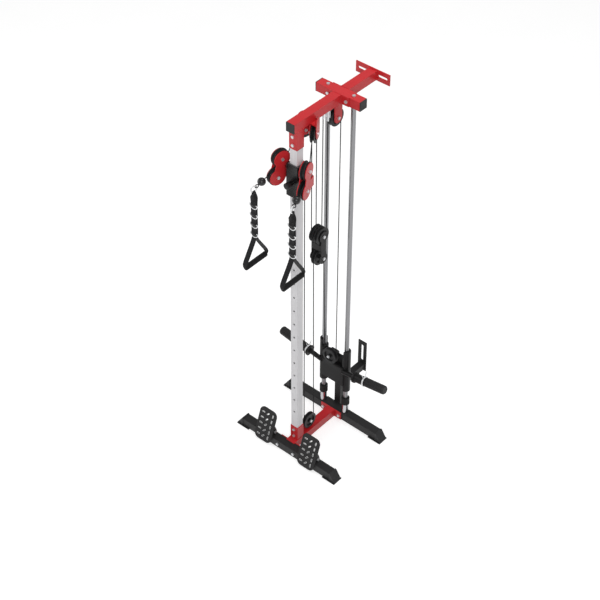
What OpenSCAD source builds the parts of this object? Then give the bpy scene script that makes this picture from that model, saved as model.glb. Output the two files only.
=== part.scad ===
// Wall-mounted cable station: swivel arms on a height trolley, a weight carriage on guide rods,
// a floating pulley block between them, and foot plates.
// Millimetres. X to the right, Y to the wall, Z up from the floor.

/* [Frame tubes] */
// Side of the square frame tubes
tube = 50; // [40:1:60]
// Wall of the square frame tubes
tube_wall = 3; // [2:0.5:4]
// Thickness of flanges and wall plates
plate_t = 5; // [4:0.5:8]
// Height of the frame above the floor, on the shoes
sole_h = 3; // [2:1:6]
// Centre of the front foot, in Y from the upright
front_foot_y = -74; // [-90:1:-60]
// Centre of the rear foot, the guide rods and the cross beam
rear_y = 321; // [315:1:330]
// Half length of the foot tubes
foot_half = 316; // [300:1:340]
// Half length of the cross beam
cross_half = 134; // [125:1:150]
// Drain hole in the flanges
drain_d = 18; // [10:1:30]

/* [Shoes] */
// Length of a shoe along the floor
shoe_len = 87; // [80:1:110]
// Width of the shoe's sole
shoe_w = 66; // [62:1:80]
// How far the slanted end runs out past the tube
shoe_out = 41; // [30:1:50]

/* [Upright] */
// Side of the upright
upright = 44; // [40:1:46]
// Wall of the upright
upright_wall = 2.5; // [2:0.5:4]
// Diameter of the adjustment holes
hole_d = 12; // [11:0.5:13]
// Height of the lowest adjustment hole
hole_first = 261; // [200:1:300]
// Distance between adjustment holes
hole_pitch = 92; // [80:1:92]
// Least distance from the top adjustment hole to the top beam
top_room = 290; // [285:1:320]
// Length of the sockets that hold the upright
socket_len = 90; // [80:1:106]

/* [Top] */
// Underside of the top beam
top_z = 2121; // [2115:1:2160]
// Front end of the top beam
beam_front = -42; // [-60:1:-30]
// The wall, in Y from the upright
wall_y = 565; // [540:1:600]
// Width of the wall plate
wall_plate_w = 210; // [190:1:240]
// Height of the wall plate
wall_plate_h = 61; // [56:1:80]
// Distance between the wall plate's slots
wall_slot_gap = 124; // [110:1:130]
// Length of a wall plate slot
wall_slot_len = 56; // [30:1:60]
// Width of a wall plate slot
wall_slot_w = 14; // [10:1:16]

/* [Guide rods] */
// Diameter of the guide rods
rod_d = 25; // [20:1:30]
// Distance from the middle to a guide rod
rod_x = 79.4; // [75:0.1:85]
// Diameter of the shaft collars
collar_d = 39; // [34:1:46]
// Height of the shaft collars
collar_h = 67; // [30:1:72]
// Diameter of the rubber bumpers
bumper_d = 46; // [40:1:50]
// Height of the rubber bumpers
bumper_h = 48; // [40:1:60]

/* [Lower wall bracket] */
// Width of the bracket's post and arm
bracket_w = 40; // [30:1:45]
// Top of the bracket's arm
bracket_top = 212; // [200:1:240]
// Width of the slotted plate
slot_plate_w = 58; // [50:1:80]
// Height of the slotted plate
slot_plate_h = 216; // [190:1:240]
// Length of the slot
slot_plate_len = 118; // [80:1:130]
// Width of the slot
slot_plate_slot = 16; // [10:1:18]

/* [Foot plates] */
// Distance from the middle to a foot plate
tread_x = 156; // [150:1:200]
// Width of a foot plate
tread_w = 120; // [112:1:140]
// Length of a foot plate
tread_len = 202; // [180:1:220]
// Tilt of a foot plate from the floor
tread_tilt = 70; // [66:1:74]
// Thickness of a foot plate
tread_t = 4; // [3:0.5:5]
// Corner radius of a foot plate
tread_r = 32; // [20:1:40]
// Distance between a foot plate's side cheeks
tread_cheeks = 96; // [80:1:100]

/* [Pulleys and cable] */
// Outside diameter of the pulleys
wheel_d = 95; // [90:1:96]
// Radius to the cable's centre line
groove_r = 40; // [38:0.5:42]
// Width of a pulley's rim
wheel_w = 22; // [18:1:24]
// Width of a pulley's hub
hub_w = 27.4; // [26:0.1:27.6]
// Diameter of the axle bolts
axle_d = 10; // [8:1:12]
// Gap between the cheeks that hold a pulley
cheek_gap = 28; // [28:1:30]
// Thickness of the pulley cheeks
cheek_t = 4; // [3:0.5:5]
// Width of the pulley cheeks
cheek_w = 56; // [46:1:60]
// Diameter of the cable
cable_d = 5; // [4:0.5:6]
// Height of the low pulley
low_z = 106; // [104:1:115]
// Low pulley's centre, in Y
low_y = 99; // [96:1:105]
// Top front pulleys' centre, below the top beam
front_drop = 59; // [57:1:66]
// Top front pulleys' centre, in X
front_x = 32.2; // [31:0.1:34]
// Top front pulleys' centre, in Y
front_y = 90.9; // [88:0.1:95]
// Turn of the top front pulleys in plan
front_turn = 25.5; // [24:0.5:28]
// Rear top pulley's centre, below the top beam
rear_drop = 81; // [77:1:91]
// Rear top pulley's centre, in Y
rear_wheel_y = 284; // [280:1:288]

/* [Height trolley] */
// Outside of the trolley's sleeve
sleeve = 70; // [66:1:72]
// Wall of the trolley's sleeve
sleeve_wall = 5; // [3:0.5:6]
// Bottom of the trolley's sleeve, below the pop pin
sleeve_drop = 85; // [75:1:95]
// Length of the trolley's sleeve
sleeve_len = 185; // [180:1:200]
// Running gap of the trolley's liners
liner_gap = 0.3; // [0.2:0.1:0.6]
// Diameter of the pop pin
pin_d = 10; // [8:0.5:10]
// Travel of the pop pin, drawn at rest
pin_travel = 8; // [7:0.5:8]
// Length of the pop pin's barrel
barrel_len = 21; // [21:1:26]
// Diameter of the pop pin's knob
knob_d = 35; // [30:1:40]
// Swivel axis of an arm, in X
swivel_x = 69; // [66:1:74]
// Swivel axis of an arm, in Y
swivel_y = 14; // [10:1:18]

/* [Arms] */
// Angle of the arms out from straight ahead, as photographed
arm_angle = 16; // [0:1:40]
// Upper arm pulley, above the pop pin
arm_rise = 106; // [103:1:109]
// Lower arm pulley, further out than the upper
arm_dr = 25; // [22:1:28]
// Lower arm pulley, lower than the upper
arm_drop = 98; // [97:1:102]
// Radius of the arm plates' lobes
lobe_r = 44; // [40:1:46]
// Direction of the cable below level where it leaves an arm
exit_angle = 30; // [24:1:36]
// Height of the pivot block
pivot_h = 56; // [50:1:60]

/* [Handles] */
// Diameter of the stop ball
ball_d = 42; // [36:1:44]
// Stop ball's centre, out from the swivel axis
ball_r = 147; // [146:1:155]
// Width of the webbing
strap_w = 42; // [35:1:50]
// Width of the webbing legs
leg_w = 30; // [24:1:34]
// Lowest point of the first D-ring, below the strap's top
ring_drop = 97.95; // [90:0.05:105]
// Distance between D-rings
ring_pitch = 58; // [50:0.5:60]
// Number of D-rings
ring_count = 4; // [2:1:5]
// Grip's axis, below the strap's top
grip_drop = 423.45; // [405:0.05:445]
// Length of the grip
grip_len = 150; // [130:1:160]
// Diameter of the grip
grip_d = 29; // [26:1:34]

/* [Floating block] */
// Centre of the block, in Y
block_y = 169; // [169]
// Height of the block's upper axle
block_top = 1388; // [1380:1:1400]
// Height of the block's lower axle
block_low = 1246; // [1240:1:1260]
// Distance from the middle to each upper pulley
block_x = 15; // [14.5:0.5:16]

/* [Weight carriage] */
// Bottom of the carriage's sleeves
carriage_z = 230; // [225:1:245]
// Length of the carriage's sleeves
carriage_len = 295; // [285:1:310]
// Outside diameter of the carriage's sleeves
carriage_sleeve_d = 48; // [44:1:50]
// Lower edge of the front plate, above the sleeves' bottom
plate_foot = 42; // [30:1:60]
// Upper edge of the front plate, above the sleeves' bottom
plate_joint = 170; // [150:1:180]
// Upper edge of the plate between the sleeves, above their bottom
plate_head = 240; // [220:1:245]
// Length of a guide bush
bush_len = 50; // [40:1:60]
// Horns' root at the guide rods' axes, above the sleeves' bottom
horn_rise = 151; // [145:1:160]
// Upward tilt of the horns
horn_tilt = 9; // [0:1:12]
// Horn axis, in Y
horn_y = 296; // [290:1:300]
// Diameter of the horns' sleeves
horn_d = 50; // [48:1:50]
// Length of a horn from its guide rod's axis
horn_len = 294; // [280:1:320]
// Stop collar of a horn, from its guide rod's axis
stop_r = 80; // [70:1:84]
// Diameter of the stop collar
stop_d = 64; // [58:1:80]
// Left spring clip, from the guide rod's axis
clip_left = 98; // [95:1:200]
// Right spring clip, from the guide rod's axis
clip_right = 152; // [95:1:200]
// Length of the horns' end caps
cap_t = 8; // [5:1:12]
// Carriage pulley's centre, above the sleeves' bottom
wheel_rise = 242; // [238:1:250]
// Carriage pulley's centre, in Y
carriage_wheel_y = 277; // [274:1:278]

/* [Hidden] */
$fn = 48;
fit = 0.3;
run = 0.05;
bolt_d = 10;
head_h = 6.5;
hex_r = 9;
bush_t = 3.5;
clip_seat = 0.6;
red = "#C2272D";
black = "#2B2A2B";
chrome = "#C9CCCE";
beam_z = sole_h + tube / 2;
top_mid = top_z + tube / 2;
deck = sole_h + tube;
seat_z = deck + plate_t;
socket = upright + 2 * tube_wall;
front_face = front_foot_y + tube / 2;
rear_face = rear_y - tube / 2;
back_face = rear_y + tube / 2;
flange_half = 72;
flange_bolt = 57;
wheel_r = wheel_d / 2;
plates_w = cheek_gap + 2 * cheek_t;
front_z = top_z - front_drop;
rear_wheel_z = top_z - rear_drop;
hole_count = floor((top_z - top_room - hole_first) / hole_pitch) + 1;
pin_z = hole_first + (hole_count - 1) * hole_pitch;
sleeve_z = pin_z - sleeve_drop;
barrel_front = -sleeve / 2 - barrel_len;
collar_y = -sleeve / 2 - 2.5 - pin_travel;
arm_z = pin_z + arm_rise;
ear_top = arm_z - 50;
ear_t = 6;
pivot_top = ear_top - ear_t - fit;
pivot_low = pivot_top - pivot_h;
upper_wheel = [groove_r, 0];
lower_wheel = [groove_r + arm_dr, -arm_drop];
link = lower_wheel - upper_wheel;
link_angle = atan2(link.y, link.x);
cross_angle = link_angle - acos(2 * groove_r / norm(link)) + 360;
leave = 90 - exit_angle;
exit_dir = [cos(exit_angle), -sin(exit_angle)];
exit_point = lower_wheel + groove_r * [cos(leave), sin(leave)];
ball = exit_point + exit_dir * (ball_r - exit_point.x) / cos(exit_angle);
eye_r = 9;
eye_wire = 2.5;
ring_r = 17;
ring_wire = 3.5;
eye = ball + exit_dir * (ball_d / 2 + eye_r + eye_wire - 1);
ring = eye + exit_dir * (ring_r + eye_r - eye_wire - ring_wire - fit);
strap_top = arm_z + ring.y - ring_r - ring_wire - fit;
strap_x = swivel_x + sin(arm_angle) * ring.x;
strap_y = swivel_y - cos(arm_angle) * ring.x;
ring_z = strap_top - ring_drop;
grip_z = strap_top - grip_drop;
handle_half = grip_len / 2 + 6;
horn_z = carriage_z + horn_rise;
carriage_wheel_z = carriage_z + wheel_rise;
y_mid = (wall_y + strap_y - handle_half) / 2;
tread_low = [front_foot_y - 47, 9];
saddle_y = front_foot_y + 8;
saddle_z = deck + cheek_t + 8;
tread_up = [cos(tread_tilt), sin(tread_tilt)];
tread_out = [-sin(tread_tilt), cos(tread_tilt)];

// ---- Placing and repeating -------------------------------------------------

module place() translate([0, -y_mid, 0]) children();

module both_sides() {
  children();
  mirror([1, 0, 0]) children();
}

module side(s) {
  if (s < 0) mirror([1, 0, 0]) children();
  else children();
}

module along_x(p) translate(p) rotate([0, 90, 0]) children();

module along_y(p) translate(p) rotate([-90, 0, 0]) children();

// A pulley's own plane: x runs to the wall for turn 0, y runs up, z is the axle.
module in_plane(p, turn = 0) translate(p) rotate([0, 0, turn]) rotate([90, 0, 90]) children();

module arm_plane() in_plane([swivel_x, swivel_y, arm_z], 180 + arm_angle) children();

// ---- Shared shapes ---------------------------------------------------------

module slab(x, y, z) {
  translate([x[0], y[0], z[0]]) cube([x[1] - x[0], y[1] - y[0], z[1] - z[0]]);
}

module tube_x(x0, x1, y, z) {
  difference() {
    slab([x0, x1], [y - tube / 2, y + tube / 2], [z - tube / 2, z + tube / 2]);
    tube_bore_x(x0 - 1, x1 + 1, y, z);
  }
}

module tube_bore_x(x0, x1, y, z) {
  r = tube / 2 - tube_wall;
  slab([x0, x1], [y - r, y + r], [z - r, z + r]);
}

module tube_y(y0, y1, z) {
  r = tube / 2 - tube_wall;
  difference() {
    slab([-tube / 2, tube / 2], [y0, y1], [z - tube / 2, z + tube / 2]);
    slab([-r, r], [y0 - 1, y1 + 1], [z - r, z + r]);
  }
}

module tube_z(outer, inner, z0, z1) {
  difference() {
    slab([-outer / 2, outer / 2], [-outer / 2, outer / 2], [z0, z1]);
    slab([-inner / 2, inner / 2], [-inner / 2, inner / 2], [z0 - 1, z1 + 1]);
  }
}

module rounded_plate(w, h, r, t) {
  linear_extrude(t) {
    translate([-w / 2 + r, 0]) square([w - 2 * r, h]);
    translate([-w / 2, r]) square([w, h - 2 * r]);
    for (x = [-1, 1], y = [r, h - r]) translate([x * (w / 2 - r), y]) circle(r);
  }
}

module slot(length, w) {
  square([length - w, w], center = true);
  for (k = [-1, 1]) translate([k * (length - w) / 2, 0]) circle(d = w);
}

module flange(y0, z) slab([-flange_half, flange_half], [y0, y0 + plate_t], [z - tube / 2, z + tube / 2]);

module flange_holes(y0, y1, z) {
  both_sides() along_y([flange_bolt, y0 - 1, z]) cylinder(d = bolt_d + 1, h = y1 - y0 + 2);
  along_y([0, y0 - 1, z]) cylinder(d = drain_d, h = y1 - y0 + 2);
}

module bolt(length, d = bolt_d) {
  translate([0, 0, -head_h]) cylinder(r = hex_r, h = head_h, $fn = 6);
  translate([0, 0, -1]) cylinder(d = d, h = length + 1);
}

module nut(z, d = bolt_d) {
  translate([0, 0, z]) difference() {
    cylinder(r = hex_r, h = head_h + 1, $fn = 6);
    translate([0, 0, -1]) cylinder(d = d + 0.2, h = head_h + 3);
  }
}

// An axle bolt and nut through plates of the given width, head on the +z side.
module axle_bolt(w) {
  translate([0, 0, w / 2]) mirror([0, 0, 1]) {
    bolt(w + head_h + 3, axle_d);
    nut(w, axle_d);
  }
}

module axle_hole() circle(d = axle_d + 0.4);

module cheeks(reach, up = true, sides = [-1, 1]) {
  for (k = sides) translate([0, 0, k * (cheek_gap + cheek_t) / 2])
    linear_extrude(cheek_t, center = true) difference() {
      union() {
        circle(d = cheek_w);
        translate([-cheek_w / 2, up ? 0 : -reach]) square([cheek_w, reach]);
      }
      axle_hole();
    }
}

module wheel() {
  rim = wheel_w / 2;
  rotate_extrude() polygon([
    [axle_d / 2 + run, -hub_w / 2], [12, -hub_w / 2], [12, -4], [groove_r - 7, -4],
    [groove_r - 7, -rim], [wheel_r, -rim], [wheel_r, -rim + 3], [groove_r - cable_d / 2 - fit, -3],
    [groove_r - cable_d / 2 - fit, 3], [wheel_r, rim - 3], [wheel_r, rim], [groove_r - 7, rim],
    [groove_r - 7, 4], [12, 4], [12, hub_w / 2], [axle_d / 2 + run, hub_w / 2]]);
}

module torus(r, wire, angle = 360) rotate_extrude(angle = angle) translate([r, 0]) circle(wire, $fn = 24);

// ---- Frame -----------------------------------------------------------------

module front_foot() place() color(black) difference() {
  tube_x(-foot_half, foot_half, front_foot_y, beam_z);
  both_sides() along_y([flange_bolt, front_face - tube - 1, beam_z]) cylinder(d = bolt_d + 1, h = tube + 2);
}

module rear_foot() place() color(black) difference() {
  tube_x(-foot_half, foot_half, rear_y, beam_z);
  both_sides() along_y([flange_bolt, rear_face - 1, beam_z]) cylinder(d = bolt_d + 1, h = tube + 2);
  both_sides() translate([rod_x, rear_y, deck - tube_wall - 1])
    cylinder(d = rod_d + fit, h = tube_wall + 2);
}

module shoe(y) {
  floor_end = foot_half + shoe_out;
  top = deck + sole_h;
  translate([0, y + tube / 2 + 2, 0]) rotate([90, 0, 0]) linear_extrude(tube + 4)
    polygon([[foot_half, 0], [floor_end, 0], [floor_end, 4], [foot_half + 7, top], [foot_half, top]]);
  slab([floor_end - shoe_len, floor_end], [y - shoe_w / 2, y + shoe_w / 2], [0, sole_h]);
  r = tube / 2 - tube_wall - 0.2;
  slab([foot_half - 26, foot_half + 1], [y - r, y + r], [beam_z - r, beam_z + r]);
}

module shoes() place() color(black) both_sides() {
  shoe(front_foot_y);
  shoe(rear_y);
}

module base_beam() place() color(red) difference() {
  union() {
    tube_y(front_face, rear_face, beam_z);
    flange(front_face, beam_z);
    flange(rear_face - plate_t, beam_z);
    slab([-socket / 2 - 3, socket / 2 + 3], [front_face - 9, socket / 2 + 5], [deck, seat_z]);
    tube_z(socket, upright, deck + 1, seat_z + socket_len);
    in_plane([0, low_y, low_z]) cheeks(low_z - deck + 1, up = false, sides = [-1]);
  }
  flange_holes(front_face, rear_face, beam_z);
  for (z = [19, 67]) along_y([0, -socket, seat_z + z]) cylinder(d = bolt_d + 1, h = 2 * socket);
}

module upright() place() color("#D5D4D6") difference() {
  tube_z(upright, upright - 2 * upright_wall, seat_z, top_z - 11);
  for (n = [0:hole_count - 1]) along_y([0, -upright, hole_first + n * hole_pitch])
    cylinder(d = hole_d, h = upright);
  for (z = [seat_z + 19, seat_z + 67, top_z - 34, top_z - 82]) along_y([0, -upright, z])
    cylinder(d = bolt_d + 1, h = 2 * upright);
}

module top_beam() place() color(red) difference() {
  union() {
    tube_y(beam_front, rear_face, top_mid);
    flange(rear_face - plate_t, top_mid);
    tube_z(socket, upright, top_z - socket_len - 16, top_z + 1);
  }
  both_sides() along_y([flange_bolt, rear_face - plate_t - 1, top_mid]) cylinder(d = bolt_d + 1, h = 9);
  along_y([0, rear_face - plate_t - 1, top_mid]) cylinder(d = drain_d, h = plate_t + 2);
  for (z = [34, 82]) along_y([0, -socket, top_z - z]) cylinder(d = bolt_d + 1, h = 2 * socket);
}

module cross_beam() place() color(red) difference() {
  tube_x(-cross_half, cross_half, rear_y, top_mid);
  both_sides() along_y([flange_bolt, rear_face - 1, top_mid]) cylinder(d = bolt_d + 1, h = tube + 2);
  both_sides() translate([rod_x, rear_y, top_z - 1]) cylinder(d = bolt_d + 1, h = tube + 2);
}

module wall_arm() place() color(red) difference() {
  plate_z = top_z - sole_h;
  union() {
    tube_y(back_face, wall_y, top_mid);
    flange(back_face, top_mid);
    slab([-wall_plate_w / 2, wall_plate_w / 2], [wall_y - plate_t, wall_y],
      [plate_z, plate_z + wall_plate_h]);
  }
  flange_holes(back_face, wall_y, top_mid);
  both_sides() along_y([wall_slot_gap / 2, wall_y - 2 * plate_t, plate_z + wall_plate_h / 2])
    linear_extrude(3 * plate_t) slot(wall_slot_len, wall_slot_w);
}

module beam_caps() place() color(black) {
  r = tube / 2 - tube_wall - 0.2;
  slab([-tube / 2, tube / 2], [beam_front - 4, beam_front], [top_z, top_z + tube]);
  slab([-r, r], [beam_front - 1, beam_front + 15], [top_mid - r, top_mid + r]);
  both_sides() {
    slab([cross_half, cross_half + 4], [rear_face, back_face], [top_z, top_z + tube]);
    slab([cross_half - 15, cross_half + 1], [rear_y - r, rear_y + r], [top_mid - r, top_mid + r]);
  }
}

module guide_rods() place() color(chrome) both_sides() difference() {
  translate([rod_x, rear_y, sole_h + tube_wall]) cylinder(d = rod_d, h = top_z - sole_h - tube_wall);
  translate([rod_x, rear_y, top_z - 40]) cylinder(d = bolt_d + 0.2, h = 50);
}

module rod_collars() place() color(chrome) both_sides() translate([rod_x, rear_y, deck]) difference() {
  cylinder(d = collar_d, h = collar_h);
  translate([0, 0, -1]) cylinder(d = rod_d + 0.1, h = collar_h + 2);
}

module bumpers() place() color(black) both_sides()
  translate([rod_x, rear_y, deck + collar_h]) difference() {
  rotate_extrude() polygon([[5, 0], [bumper_d / 2 - 2, 0], [bumper_d / 2, 2],
    [bumper_d / 2, bumper_h - 3], [bumper_d / 2 - 3, bumper_h], [5, bumper_h]]);
  translate([0, 0, -1]) cylinder(d = rod_d + 0.1, h = bumper_h + 2);
}

module wall_bracket() place() color(black) difference() {
  h = bracket_w / 2;
  plate_z = bracket_top - 52;
  union() {
    flange(back_face, beam_z);
    slab([-h, h], [back_face, back_face + bracket_w], [sole_h, bracket_top]);
    slab([-h, h], [back_face, wall_y - plate_t], [bracket_top - bracket_w, bracket_top]);
    slab([-slot_plate_w / 2, slot_plate_w / 2], [wall_y - plate_t, wall_y],
      [plate_z, plate_z + slot_plate_h]);
  }
  both_sides() along_y([flange_bolt, back_face - 1, beam_z]) cylinder(d = bolt_d + 1, h = plate_t + 2);
  r = h - tube_wall;
  slab([-r, r], [back_face + tube_wall, back_face + bracket_w - tube_wall], [-1, bracket_top - tube_wall]);
  slab([-r, r], [back_face + tube_wall, wall_y - plate_t],
    [bracket_top - bracket_w + tube_wall, bracket_top - tube_wall]);
  along_y([0, wall_y - 2 * plate_t, plate_z + slot_plate_h - slot_plate_len / 2 - 26])
    linear_extrude(3 * plate_t) rotate(90) slot(slot_plate_len, slot_plate_slot);
}

// ---- Foot plates -----------------------------------------------------------

module foot_plate(x) difference() {
  cheek = tread_cheeks / 2;
  union() {
    translate([x, tread_low.x, tread_low.y]) rotate([tread_tilt, 0, 0]) translate([0, 0, -tread_t])
      difference() {
        rounded_plate(tread_w, tread_len, tread_r, tread_t);
        for (i = [-1:1], j = [0:4]) translate([i * 34, 30 + j * 35, -1]) linear_extrude(tread_t + 2)
          rotate(i * 45 + 45) slot(18, 5);
      }
    for (k = [-1, 1]) translate([x + k * (cheek + cheek_t / 2), 0, 0]) rotate([90, 0, 90])
      linear_extrude(cheek_t, center = true) polygon([
        tread_low - 2 * tread_out + 58 * tread_up, tread_low - 2 * tread_out + 130 * tread_up,
        [saddle_y + 12, saddle_z + 14], [saddle_y + 12, deck + cheek_t + 0.5],
        [saddle_y - 20, deck + cheek_t + 0.5]]);
  }
  along_x([x - cheek - 2 * cheek_t, saddle_y, saddle_z])
    cylinder(d = bolt_d + 0.4, h = tread_cheeks + 4 * cheek_t);
}

module foot_plates() place() color(black) for (k = [-1, 1]) foot_plate(k * tread_x);

module foot_plate_saddles() place() color(black) for (k = [-1, 1]) difference() {
  half = tread_cheeks / 2 - 0.5;
  x = k * tread_x;
  union() {
    slab([x - half, x + half], [front_face - tube + 3, front_face + cheek_t], [deck, deck + cheek_t]);
    slab([x - half, x + half], [front_face, front_face + cheek_t], [beam_z - 15, deck + 1]);
    along_x([x - half, saddle_y, saddle_z]) cylinder(d = 20, h = 2 * half);
  }
  along_x([x - half - 1, saddle_y, saddle_z]) cylinder(d = bolt_d + 0.2, h = 2 * half + 2);
}

// ---- Frame hardware --------------------------------------------------------

module flange_screw(y, z) both_sides() along_y([flange_bolt, y, z]) children();

module frame_bolts() place() color(chrome) {
  for (z = [seat_z + 19, seat_z + 67, top_z - 34, top_z - 82])
    along_y([0, -socket / 2, z]) bolt(socket + 10);
  flange_screw(front_face - tube, beam_z) bolt(tube + plate_t + 10);
  for (z = [beam_z, top_mid]) flange_screw(rear_face - plate_t, z) bolt(tube + 2 * plate_t + 10);
  both_sides() translate([rod_x, rear_y, top_z + tube]) mirror([0, 0, 1]) bolt(tube + 30);
  for (k = [-1, 1]) along_x([k * tread_x + tread_cheeks / 2 + cheek_t, saddle_y, saddle_z])
    mirror([0, 0, 1]) bolt(tread_cheeks + 2 * cheek_t + 10);
  frame_nuts();
}

module frame_nuts() {
  for (z = [seat_z + 19, seat_z + 67, top_z - 34, top_z - 82]) along_y([0, socket / 2, z]) nut(0);
  flange_screw(front_face + plate_t, beam_z) nut(0);
  for (z = [beam_z, top_mid]) flange_screw(back_face + plate_t, z) nut(0);
  for (k = [-1, 1]) along_x([k * tread_x - tread_cheeks / 2 - cheek_t, saddle_y, saddle_z])
    mirror([0, 0, 1]) nut(0);
}

// A corner of the plate between the outer cheeks of the front pulleys.
function bracket_corner(s, k) =
  let (v = turn_plan([(cheek_gap + cheek_t) / 2, k * cheek_w / 2, 0], front_turn))
  [s * (front_x + v.x), front_y + v.y];

module pulley_brackets() place() color(red) {
  translate([0, 0, top_z - 6]) linear_extrude(6)
    polygon([for (c = [[1, -1], [1, 1], [-1, 1], [-1, -1]]) bracket_corner(c.x, c.y)]);
  both_sides() in_plane([front_x, front_y, front_z], front_turn) {
    cheeks(front_drop - 3);
    translate([0, front_drop, cheek_gap / 2]) cylinder(d = cheek_w, h = cheek_t);
  }
  slab([-25, 25], [rear_wheel_y - 28, rear_wheel_y + 28], [top_z - 6, top_z]);
  in_plane([0, rear_wheel_y, rear_wheel_z]) cheeks(rear_drop - 3);
}

module frame_axles() place() color(chrome) {
  in_plane([0, low_y, low_z]) translate([0, 0, -cheek_t / 2]) axle_bolt(cheek_gap + cheek_t);
  in_plane([0, rear_wheel_y, rear_wheel_z]) axle_bolt(plates_w);
  both_sides() in_plane([front_x, front_y, front_z], front_turn) axle_bolt(plates_w);
}

// Studs under the top beam that end the handle cables, and the lug that ends the weight cable.
module cable_anchors() place() color(chrome) {
  both_sides() translate([block_x, block_y + groove_r, 0]) {
    translate([0, 0, top_z - 10]) cylinder(r = hex_r, h = 10, $fn = 6);
    translate([0, 0, top_z - 60]) cylinder(d = 11, h = 52);
  }
  lug_y = rear_wheel_y - wheel_r - 12;
  difference() {
    slab([-12, 12], [lug_y, lug_y + 6], [rear_wheel_z + groove_r - 12, top_z]);
    along_y([0, lug_y - 1, rear_wheel_z + groove_r]) cylinder(d = cable_d + 1, h = 8);
  }
  along_y([0, lug_y - 10, rear_wheel_z + groove_r]) cylinder(d = 13, h = 10);
}

module low_pulley() place() color(black) in_plane([0, low_y, low_z]) wheel();

module rear_top_pulley() place() color(black) in_plane([0, rear_wheel_y, rear_wheel_z]) wheel();

module front_pulley(s) place() color(black) side(s)
  in_plane([front_x, front_y, front_z], front_turn) wheel();

// ---- Height trolley --------------------------------------------------------

module ear(z) difference() {
  union() {
    slab([sleeve / 2 - 1, swivel_x], [swivel_y - 14, swivel_y + 14], [z, z + ear_t]);
    translate([swivel_x, swivel_y, z]) cylinder(r = 14, h = ear_t);
  }
  translate([swivel_x, swivel_y, z - 1]) cylinder(d = axle_d + 0.2, h = ear_t + 2);
}

module trolley() place() color(black) difference() {
  union() {
    tube_z(sleeve, sleeve - 2 * sleeve_wall, sleeve_z, sleeve_z + sleeve_len);
    both_sides() {
      ear(ear_top - ear_t);
      ear(pivot_low - fit - ear_t);
    }
    slab([-9, 9], [sleeve / 2 - 1, low_y - groove_r + 9], [sleeve_z + 5, sleeve_z + 25]);
    along_y([0, barrel_front, pin_z]) cylinder(r = 13, h = -barrel_front - sleeve / 2 + 1);
  }
  along_y([0, barrel_front - 1, pin_z]) cylinder(d = pin_d + 2 * run, h = barrel_len + sleeve_wall + 2);
  along_y([0, barrel_front + 2, pin_z]) cylinder(r = 8.2, h = barrel_len - 2);
  translate([0, low_y - groove_r, sleeve_z]) cylinder(d = cable_d + 1, h = 30);
}

module trolley_liners() place() color("#4A4A4C") for (z = [sleeve_z, sleeve_z + sleeve_len - 42])
  tube_z(sleeve - 2 * sleeve_wall, upright + 2 * liner_gap, z, z + 42);

module trolley_hardware() place() color(chrome) {
  both_sides() translate([swivel_x, swivel_y, ear_top]) mirror([0, 0, 1]) {
    bolt(ear_top - pivot_low + fit + ear_t + 10, axle_d);
    nut(ear_top - pivot_low + fit + ear_t, axle_d);
  }
  translate([0, low_y - groove_r, sleeve_z + 25]) cylinder(d = 13, h = 16);
}

module pop_pin() place() color(black) {
  tip = -upright / 2 + 6 - pin_travel;
  knob = barrel_front - 1 - pin_travel;
  along_y([0, knob - 1, pin_z]) cylinder(d = pin_d, h = tip - knob + 1);
  along_y([0, collar_y, pin_z]) cylinder(r = 7.6, h = 2);
  along_y([0, knob - 14, pin_z]) rotate_extrude() polygon([[0, 0], [knob_d / 2 - 5, 0],
    [knob_d / 2, 4], [knob_d / 2, 14 + pin_travel], [13.6, 14 + pin_travel], [13.6, 14], [0, 14]]);
}

// ---- Swept tubes -----------------------------------------------------------

function unit(v) = v / norm(v);

function tangent(p, i) = unit(p[min(i + 1, len(p) - 1)] - p[max(i - 1, 0)]);

function square_to(n, t) = unit(n - (n * t) * t);

function sides(p, n) = [for (i = 0, m = square_to(n, tangent(p, 0)); i < len(p);
  i = i + 1, m = square_to(m, tangent(p, min(i, len(p) - 1)))) m];

module sweep(p, d, n = [0, 1, 0], k = 8) {
  m = sides(p, n);
  last = (len(p) - 1) * k;
  polyhedron(
    points = [for (i = [0:len(p) - 1], j = [0:k - 1]) p[i] + d / 2
      * (cos(360 * j / k) * m[i] + sin(360 * j / k) * cross(tangent(p, i), m[i]))],
    faces = concat([[for (j = [k - 1:-1:0]) j]], [for (i = [0:len(p) - 2], j = [0:k - 1])
      [i * k + j, i * k + (j + 1) % k, (i + 1) * k + (j + 1) % k, (i + 1) * k + j]],
      [[for (j = [0:k - 1]) last + j]]));
}

// Points on an arc of the groove's radius, in the plane of a pulley.
function turn_plan(v, a) = [v.x * cos(a) - v.y * sin(a), v.x * sin(a) + v.y * cos(a), v.z];

function wheel_arc(p, turn, a0, a1, steps = 16) = [for (i = [0:steps])
  let (a = a0 + (a1 - a0) * i / steps)
  p + turn_plan([0, groove_r * cos(a), groove_r * sin(a)], turn)];

function arm_point(q) = [swivel_x, swivel_y, arm_z] + turn_plan([0, q.x, q.y], 180 + arm_angle);

module pop_pin_spring() place() color(chrome) {
  back = collar_y - 0.9;
  front = barrel_front + 2.9;
  curls = 4;
  sweep([for (i = [0:curls * 8]) [6.4 * cos(45 * i), back + (front - back) * i / curls / 8,
    pin_z + 6.4 * sin(45 * i)]], 1.4, [1, 0, 0], 6);
}

// ---- Arms ------------------------------------------------------------------

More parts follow.
